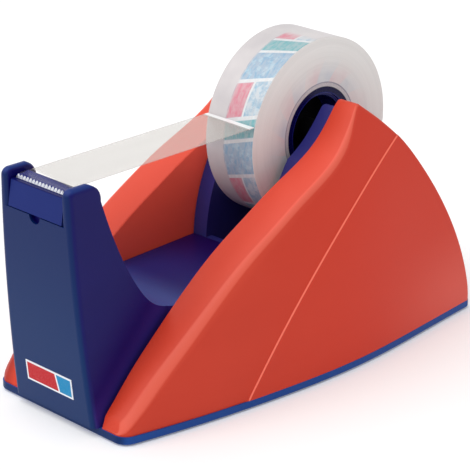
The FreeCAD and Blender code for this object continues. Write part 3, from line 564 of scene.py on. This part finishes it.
def flank_colour(finish, radius, turn, cloud, rings):
    """Fine rings of wound tape, tinted near the core by the print under it."""
    slow_rings = finish.noise(1, 2, 0.5, finish.vector(radius * 420))
    ringed = rings.rise(0.3, 0.75) * 0.55 + slow_rings.rise(0.35, 0.7) * 0.45
    colour = finish.mix(ringed, shade(242, 241, 239), shade(233, 232, 230))
    pattern = (turn * 9 + radius * 40).repeat()
    tint = finish.mix(pattern.rise(0.45, 0.55), shade(176, 192, 214), shade(222, 170, 182))
    near_core = radius.fall(LINER_RADIUS + 0.0005, LINER_RADIUS * 1.55)
    return finish.mix(near_core * (0.10 + cloud.rise(0.35, 0.7) * 0.42), colour, tint)


def wound_tape():
    """Clear tape wound up: milky through its edges, the liner showing through the tread."""
    finish = Finish("wound_tape")
    x, radius, turn = roll_axes(finish)
    flank = on_flank(x)
    cloud = finish.noise(75, 3)
    rings = finish.noise(1, 3, 0.7, finish.vector(radius * 2600, turn * 3.0))
    haze = finish.noise(1, 4, 0.6, finish.vector(x * 900, turn * 60))
    tread = tread_colour(finish, x, turn, cloud, haze)
    side = flank_colour(finish, radius, turn, cloud, rings)
    return finish.surface({
        "Base Color": finish.mix(flank, tread, side),
        "Roughness": 0.3 + flank * 0.22 + rings * 0.1,
        "Normal": finish.bump(rings * flank + haze * 0.3, 0.00006),
    })


def tape_film():
    """The loose length: film that is clearest over the rest, with a painted highlight where it folds
    off the roll.
    """
    finish = Finish("tape_film")
    x, y, _ = finish.axes((0, STRIP_REAR, 0))
    streaks = finish.streaks((500, 12, 12))
    # painted highlight: the film is painted white where it folds off the roll
    fold = (y + x * 0.03).rise(-0.0021, -0.0017)
    rest = REST_REAR - STRIP_REAR
    loose = (y + x * 0.1).rise(rest - 0.0012, rest - 0.0006)
    grey = finish.mix(streaks.rise(0.35, 0.7), shade(212, 206, 198), shade(204, 198, 190))
    return finish.surface({
        "Base Color": finish.mix(fold, grey, shade(250, 250, 250)),
        "Alpha": 0.04 + loose * (0.30 + streaks * 0.04) + fold * 0.6,
        "Roughness": 0.12 + streaks * 0.1,
        "Normal": finish.bump(streaks, 0.00002),
    })


def dress_nodes():
    """Give every node of the frame its finish."""
    red = moulded_plastic("shell_red", (213, 63, 37), (205, 56, 32), 0.42, 0.25, shell_tone)
    navy = moulded_plastic("navy", (18, 14, 100), (12, 8, 90), 0.36, 0.16, tower_tone)
    # painted light: the cradle's navy is paler than the tower's, where it lies in shade under the
    # roll
    cheeks = moulded_plastic("cradle_navy", (48, 48, 122), (40, 40, 112), 0.36, 0.25, cheek_tone)
    tray = moulded_plastic("tray_navy", (30, 76, 152), (24, 70, 144), 0.36, 0.14, rim_tone)
    panel = moulded_plastic(
        "panel_navy", (36, 49, 117), (32, 45, 109), 0.30, 0.06, panel_tone, grain_depth=0.00002)
    insert = moulded_plastic(
        "insert_navy", (10, 26, 120), (6, 22, 112), 0.30, 0.25, grain_depth=0.00002)
    hub = moulded_plastic(
        "hub_navy", (22, 30, 120), (18, 24, 108), 0.28, 0.12, drum_tone,
        grain_depth=0.00002, dull_bore=0.7)
    iron = cast_iron()
    screws = screw_steel()
    finishes = {
        "base_tray": tray,
        "non_slip_pad": pad_rubber(),
        "tower_body": navy,
        "roll_cradle": cheeks,
        "right_side_shell": red,
        "left_side_shell": red,
        "deck_ballast": iron,
        "cradle_ballast": iron,
        "deck_screws": screws,
        "cradle_screws": screws,
        "shell_screws": screws,
        "badge_plate": blank_plate(),
        "cutter_panel": panel,
        "blade": cutting_steel(),
        "tape_rest": insert,
        "right_hub_half": hub,
        "left_hub_half": hub,
        "tape_core": core_plastic(),
        "core_liner": liner_print(),
        "tape_winding": wound_tape(),
        "tape_strip": tape_film(),
    }
    for name, node in frame["nodes"].items():
        node.data.materials.clear()
        node.data.materials.append(finishes[name])
    return red


# ---- side shells --------------------------------------------------------------------------
# Millimetres, from the base's front edge (station) and the underside of its rim (height).
BASE_LENGTH = 141.8
PAD_PROUD = 0.3
FRONT_FLAT_HALF = 23.15
FRONT_CORNER_RADIUS = 4.5
FRONT_CORNER_TURN = math.radians(78)
SWELL = [(24.0, 31.8), (52.1, 35.6), (84.3, 37.3), (114.2, 35.05)]  # station and half the width
REAR_HALF_WIDTH = 32.4
REAR_CORNER_RADIUS = 2.0
BAY_HALF_WIDTH = 17.8
BARREL_RADIUS = 263.0    # the outer faces lean in as on a barrel of this radius
RECESSED = 0.4           # how far the faces either side of the fine step
PROUD = 0.05             # lie within the base's outline
SHELL_BOTTOM = 2.4
FOOT = Vector((0, 4.4))
KNEE = Vector((9.0, 14.2))
BAND = [Vector((18.7, 23.4)), Vector((31.0, 33.9)), Vector((45.1, 44.0)), Vector((54.7, 49.4)),
        Vector((66.8, 55.9)), Vector((75.0, 59.7)), Vector((84.5, 65.5))]
BAND_CLIMB = Vector((1, 1.2)).normalized()
PEAK = Vector((94.0, 76.3))
PEAK_RADIUS = 1.2
SHOULDER = Vector((99.5, 72.2))
BACK = [Vector((105.9, 67.0)), Vector((110.8, 62.5)), Vector((117.9, 54.0)), Vector((133.2, 29.0))]
HEEL = Vector((141.75, 0))
HEEL_FALL = Vector((0.1, -1)).normalized()

STEP_LINE = [Vector((41.0, 2.4)), Vector((70.4, 36.6)), Vector((110.5, 63.7))]
STEP_RUN_OUT = 4.0       # how far in front of its first point the step still shows
STEP_ABSENT = -50.0      # its height where there is none, far below the shell
STEP_WIDTH = 0.5         # the height over which one face passes into the other
STEP_ROWS = (0.25, 0.12, 0.0, -0.12, -0.25, -0.6)
STEP_REACH = 0.6         # the rows near the step lie this close to it

TOE_NOSE_DROP = 1.9      # how the band's lower end turns down
TOE_NOSE_LENGTH = 1.5
TOE_TURN_END = 12.0      # from here on the rounding is square to the profile
TOE_CHAMFER = 0.6        # how flat the outer rounding is at the toe: 0 is round, 1 is flat
TOE_CHAMFER_END = 90.0
TOE_ROUNDING = 2.6
TOE_ROUNDING_END = 60.0
OUTER_ROUNDING = 1.6
BACK_ROUNDING = 0.6
BACK_ROUNDING_START = PEAK.x - 9
BACK_ROUNDING_END = PEAK.x - 1
LOW_ROUNDING = 0.7       # the most that a rounding may take of the height over the rim
INNER_ROUNDING = 0.45
BULGE_LIMIT = 1.0        # how far the band's edge may stand out past the face at its top

# Rows of points in each stretch of the profile; on a curve, in each gap between its points.
TOE_ROWS = 12
KNEE_ROWS = 6
BAND_ROWS = 9
CROWN_ROWS = 8
FALL_ROWS = 10
BACK_ROWS = 14
OUTLINE_ROWS = 30
CURVE_PASSES = 60        # enough for the slopes of a curve to settle

# A section's ring of points: one at the inner foot, then the two roundings, then the flank.
INNER_POINTS = 4
OUTER_POINTS = 7
FLANK_ROWS = 10
OUTER_START = 1 + INNER_POINTS
BAY_END = 3              # the first point that no longer faces the bay
BAND_END = 7             # the first point that no longer belongs to the band
# how much painted highlight each point of the outer rounding takes
OUTER_PAINTED_HIGHLIGHT = (0.2, 0.9, 1.0, 1.0, 1.0, 0.9, 0.2)
SHARP_EDGE = math.radians(32)
MERGE_DISTANCE = 0.000002
SLIVER_DISTANCE = 0.000001


def row_place(x, station, height):
    """A place in the frame's metres from its millimetres on the base."""
    return Vector((x, station - BASE_LENGTH / 2, height + PAD_PROUD)) * MM


def ease(value, start, end):
    """0 before start, 1 after end, smooth between them."""
    value = min(max((value - start) / (end - start), 0), 1)
    return value * value * (3 - 2 * value)


def smooth_curve(points, first=None, last=None):
    """A curve through the points: its knots, points and slopes."""
    gaps = [(b - a).length for a, b in zip(points, points[1:])]
    rates = [(b - a) / gap for a, b, gap in zip(points, points[1:], gaps)]
    slopes = [rates[0]] + [(a + b) / 2 for a, b in zip(rates, rates[1:])] + [rates[-1]]
    for _ in range(CURVE_PASSES):
        slopes[0] = first or (3 * rates[0] - slopes[1]) / 2
        slopes[-1] = last or (3 * rates[-1] - slopes[-2]) / 2
        for i in range(1, len(points) - 1):
            pull = 3 * (gaps[i] * rates[i - 1] + gaps[i - 1] * rates[i])
            pull -= gaps[i] * slopes[i - 1] + gaps[i - 1] * slopes[i + 1]
            slopes[i] = pull / (2 * (gaps[i - 1] + gaps[i]))
    return gaps, points, slopes


def curve_points(curve, count):
    """Points along a smooth curve, count of them to each gap, without the last."""
    gaps, points, slopes = curve
    found = []
    for i, gap in enumerate(gaps):
        for k in range(count):
            t = k / count
            found.append(
                points[i] * (2 * t ** 3 - 3 * t ** 2 + 1)
                + slopes[i] * gap * (t ** 3 - 2 * t ** 2 + t)
                + points[i + 1] * (3 * t ** 2 - 2 * t ** 3)
                + slopes[i + 1] * gap * (t ** 3 - t ** 2))
    return found


def straight_points(start, end, count):
    return [start.lerp(end, k / count) for k in range(count)]


def corner_station(turn):
    """Station reached on the front corner's arc after a turn from the base's front."""
    return FRONT_CORNER_RADIUS - (FRONT_CORNER_RADIUS - RECESSED) * math.cos(turn)


def shell_profile():
    """The side profile: up the band, over the peak and down the back."""
    fall = (SHOULDER - PEAK).normalized()
    reach = PEAK_RADIUS * math.tan(BAND_CLIMB.angle(fall) / 2)
    rise_end = PEAK - BAND_CLIMB * reach
    fall_start = PEAK + fall * reach
    centre = rise_end + Vector((BAND_CLIMB.y, -BAND_CLIMB.x)) * PEAK_RADIUS
    first_spoke, last_spoke = rise_end - centre, fall_start - centre
    crown = [centre + first_spoke.slerp(last_spoke, k / CROWN_ROWS) for k in range(CROWN_ROWS)]
    climb = (KNEE - FOOT) / KNEE.x
    toe = []
    for k in range(TOE_ROWS):
        station = corner_station(FRONT_CORNER_TURN * k / TOE_ROWS)
        drop = TOE_NOSE_DROP * (1 - ease(station, RECESSED, RECESSED + TOE_NOSE_LENGTH))
        toe.append(FOOT + climb * station - Vector((0, drop)))
    corner_end = FOOT + climb * corner_station(FRONT_CORNER_TURN)
    band = smooth_curve([KNEE] + BAND + [rise_end], (KNEE - FOOT).normalized(), BAND_CLIMB)
    back = smooth_curve([SHOULDER] + BACK + [HEEL], fall, HEEL_FALL)
    return (toe + straight_points(corner_end, KNEE, KNEE_ROWS) + curve_points(band, BAND_ROWS)
            + crown + straight_points(fall_start, SHOULDER, FALL_ROWS)
            + curve_points(back, BACK_ROWS))


def outline_curve(inset):
    """Half the base's outline between its corners, moved inwards."""
    corner = FRONT_CORNER_RADIUS - inset
    start = Vector((FRONT_CORNER_RADIUS - corner * math.cos(FRONT_CORNER_TURN),
                    FRONT_FLAT_HALF + corner * math.sin(FRONT_CORNER_TURN)))
    swell = [Vector((station, half - inset)) for station, half in SWELL]
    rear = Vector((BASE_LENGTH - max(REAR_CORNER_RADIUS, inset), REAR_HALF_WIDTH - inset))
    return curve_points(smooth_curve([start] + swell + [rear]), OUTLINE_ROWS) + [rear]


OUTLINES = {inset: outline_curve(inset) for inset in (RECESSED, PROUD)}


def half_width(station, inset):
    """Half the base's width at a station, moved inwards."""
    corner = FRONT_CORNER_RADIUS - inset
    points = OUTLINES[inset]
    if station <= points[0].x:
        ahead = FRONT_CORNER_RADIUS - station
        return FRONT_FLAT_HALF + math.sqrt(max(corner ** 2 - ahead ** 2, 0))
    for a, b in zip(points, points[1:]):
        if station <= b.x:
            return a.y + (b.y - a.y) * (station - a.x) / (b.x - a.x)
    rear = REAR_CORNER_RADIUS - inset
    beyond = min(station - points[-1].x, rear)
    return REAR_HALF_WIDTH - inset - rear + math.sqrt(rear ** 2 - beyond ** 2)


def ring_through(a, b, c):
    """Centre and radius of the circle through three points."""
    d = 2 * (a.x * (b.y - c.y) + b.x * (c.y - a.y) + c.x * (a.y - b.y))
    aa, bb, cc = (point.length_squared for point in (a, b, c))
    x = (aa * (b.y - c.y) + bb * (c.y - a.y) + cc * (a.y - b.y)) / d
    y = (aa * (c.x - b.x) + bb * (a.x - c.x) + cc * (b.x - a.x)) / d
    centre = Vector((x, y))
    return centre, (a - centre).length


STEP_CENTRE, STEP_RADIUS = ring_through(*STEP_LINE)


def step_height(station):
    """Height of the fine step at a station, or STEP_ABSENT in front of it."""
    away = station - STEP_CENTRE.x
    if abs(away) >= STEP_RADIUS or station < STEP_LINE[0].x - STEP_RUN_OUT:
        return STEP_ABSENT
    return STEP_CENTRE.y + math.sqrt(STEP_RADIUS ** 2 - away ** 2)


def outer_face(station, height):
    """X of the shell's outer face."""
    below = ease(step_height(station) - height, -STEP_WIDTH / 2, STEP_WIDTH / 2)
    recessed = half_width(station, RECESSED)
    proud = half_width(station, PROUD)
    lean = BARREL_RADIUS - math.sqrt(BARREL_RADIUS ** 2 - height ** 2)
    return recessed + (proud - recessed) * below - lean


def flank_heights(eaves):
    """Heights of the flank's rows, from the band's edge to the rim, closer near the step."""
    step = min(max(step_height(eaves.x), SHELL_BOTTOM), eaves.y)
    above, below = step + STEP_REACH, step - STEP_REACH
    rows = range(1, FLANK_ROWS + 1)
    heights = [eaves.y + (above - eaves.y) * k / FLANK_ROWS for k in rows]
    heights += [step + offset for offset in STEP_ROWS]
    heights += [below + (SHELL_BOTTOM - below) * k / FLANK_ROWS for k in rows]
    return [min(max(height, SHELL_BOTTOM), eaves.y) for height in heights]


def shell_section(point, inward, rounding, flatness):
    """One ring round the shell: up the bay face, across the band and down the outer face."""
    ring = [(BAY_HALF_WIDTH, None)]
    for k in range(INNER_POINTS):
        angle = math.pi / 2 * k / (INNER_POINTS - 1)
        place = point + inward * INNER_ROUNDING * (1 - math.sin(angle))
        ring.append((BAY_HALF_WIDTH + INNER_ROUNDING * (1 - math.cos(angle)), place))
    ring[0] = (BAY_HALF_WIDTH, Vector((ring[1][1].x, SHELL_BOTTOM)))
    top = outer_face(point.x, point.y)
    for k in range(OUTER_POINTS):
        part = k / (OUTER_POINTS - 1)
        angle = math.pi / 2 * part
        down = (1 - math.cos(angle)) * (1 - flatness) + part * flatness
        short = (1 - math.sin(angle)) * (1 - flatness) + (1 - part) * flatness
        place = point + inward * rounding * down
        edge = min(outer_face(place.x, place.y), top + BULGE_LIMIT)
        ring.append((edge - rounding * short, place))
    eaves = ring[-1][1]
    for height in flank_heights(eaves):
        ring.append((outer_face(eaves.x, height), Vector((eaves.x, height))))
    return [row_place(x, place.x, place.y) for x, place in ring]


def shell_sections():
    """The rings from the toe to the heel."""
    profile = shell_profile()
    sections = []
    for before, point, after in zip(profile, profile[1:], profile[2:]):
        along = (after - before).normalized()
        square = Vector((along.y, -along.x))
        inward = Vector((0, -1)).lerp(square, ease(point.x, 0, TOE_TURN_END)).normalized()
        at_toe = 1 - ease(point.x, 0, TOE_ROUNDING_END)
        at_back = ease(point.x, BACK_ROUNDING_START, BACK_ROUNDING_END)
        rounding = OUTER_ROUNDING + (TOE_ROUNDING - OUTER_ROUNDING) * at_toe
        rounding -= (OUTER_ROUNDING - BACK_ROUNDING) * at_back
        rounding = min(rounding, (point.y - SHELL_BOTTOM) * LOW_ROUNDING)
        flatness = TOE_CHAMFER * (1 - ease(point.x, 0, TOE_CHAMFER_END))
        sections.append(shell_section(point, inward, rounding, flatness))
    return sections


def tone_ring(corners, shine, bay, mirrored):
    """Mark a ring's points: how much painted highlight they take on the band's edge, and how much
    painted light makes them paler than the flank.
    """
    station = corners[OUTER_START].co.y / MM + BASE_LENGTH / 2
    # the painted highlight on the band's edge ends at the peak; on the left shell it starts after the
    # toe
    edge_highlight_amount = 1 - ease(station, PEAK.x - 2, PEAK.x + 2)
    if mirrored:
        edge_highlight_amount *= ease(station, 8, 48)
    # painted light: the band is painted paler towards the peak and near the toe
    band_painted_light = 0.3 * ease(station, 30, 70) * (1 - ease(station, PEAK.x - 14, PEAK.x - 4))
    at_toe = 0.2 * ease(station, 2, 10) * (1 - ease(station, 12, 38))
    for index, corner in enumerate(corners):
        outer = index - OUTER_START
        corner[shine] = OUTER_PAINTED_HIGHLIGHT[outer] * edge_highlight_amount if 0 <= outer < OUTER_POINTS else 0
        if index < BAY_END:
            corner[bay] = 1.0
        elif index < BAND_END:
            corner[bay] = band_painted_light + at_toe * (1 - ease(index, BAND_END - 3, BAND_END))
        else:
            corner[bay] = 0.0


def next_ring(mesh, corners, edges, section):
    """Draw a ring on to the next section: its new corners and edges."""
    drawn = bmesh.ops.extrude_edge_only(mesh, edges=edges)["geom"]
    edges = [item for item in drawn if isinstance(item, bmesh.types.BMEdge)]
    fresh = {}
    for item in drawn:
        if isinstance(item, bmesh.types.BMVert):
            ends = [edge.other_vert(item) for edge in item.link_edges]
            fresh[next(end for end in ends if end not in drawn)] = item
    corners = [fresh[corner] for corner in corners]
    for corner, place in zip(corners, section):
        corner.co = place
    return corners, edges


def side_shell(name, replaced, material, mirrored):
    """A shell drawn out section by section from its toe to its heel."""
    sections = shell_sections()
    mesh = bmesh.new()
    # marks for the painted highlight on the band's edge and the painted light on the bay face
    marks = ("edge_painted_highlight", "bay_painted_light")
    for mark in marks:
        mesh.verts.layers.float.new(mark)
    shine, bay = (mesh.verts.layers.float[mark] for mark in marks)
    corners = [mesh.verts.new(place) for place in sections[0]]
    edges = [mesh.edges.new(pair) for pair in zip(corners, corners[1:] + corners[:1])]
    mesh.faces.new(corners)
    tone_ring(corners, shine, bay, mirrored)
    for section in sections[1:]:
        corners, edges = next_ring(mesh, corners, edges, section)
        tone_ring(corners, shine, bay, mirrored)
    mesh.faces.new(reversed(corners))
    bmesh.ops.remove_doubles(mesh, verts=mesh.verts, dist=MERGE_DISTANCE)
    bmesh.ops.dissolve_degenerate(mesh, edges=mesh.edges, dist=SLIVER_DISTANCE)
    if mirrored:
        bmesh.ops.scale(mesh, vec=(-1, 1, 1), verts=mesh.verts)
    bmesh.ops.recalc_face_normals(mesh, faces=mesh.faces)
    for face in mesh.faces:
        face.smooth = True
    data = bpy.data.meshes.new(name)
    mesh.to_mesh(data)
    mesh.free()
    data.set_sharp_from_angle(angle=SHARP_EDGE)
    data.materials.append(material)
    piece = staged(name, data)
    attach(piece, "base")
    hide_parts(replaced)


place_camera()
place_lamp()
light_room()
lay_floor()
shell_red = dress_nodes()
side_shell("right_shell_looks", "right_side_shell", shell_red, False)
side_shell("left_shell_looks", "left_side_shell", shell_red, True)
